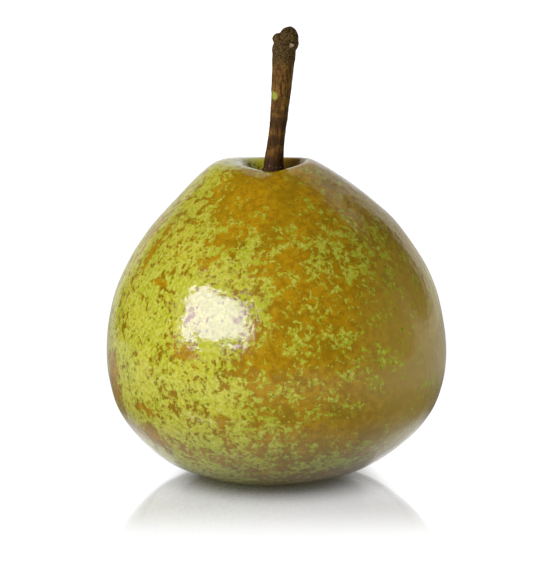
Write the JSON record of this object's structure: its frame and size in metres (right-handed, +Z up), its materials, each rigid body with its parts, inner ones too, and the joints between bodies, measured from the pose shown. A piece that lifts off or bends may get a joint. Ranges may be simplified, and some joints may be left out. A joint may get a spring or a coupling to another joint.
{
  "type": "pear",
  "caption": "Whole ripe squat pear standing on its calyx end, with a long knobbed woody stem and dry sepals in the basin underneath.",
  "frame": {"origin": "on the surface the pear stands on, under the middle of its bounding box", "axes": "+Z up, from the calyx end to the stem; -Y is the side shown in the picture, and +X is to the right in it"},
  "size_m": [0.08, 0.0788, 0.106],
  "materials": {
    "skin": "waxy yellow-green fruit skin with golden-brown russet speckles, glossy where it is smooth and duller on the russet",
    "bark": "dull dark brown bark with fine lengthwise ridges",
    "sepals": "matt dry brown leaf tissue",
    "dried_flower": "matt dark brown dried flower tissue"
  },
  "bodies": {
    "root": {"fruit": "skin", "stem": "bark", "sepal_1": "sepals", "sepal_2": "sepals", "sepal_3": "sepals", "sepal_4": "sepals", "sepal_5": "sepals", "dried_flower": "dried_flower"}
  },
  "joints": []
}
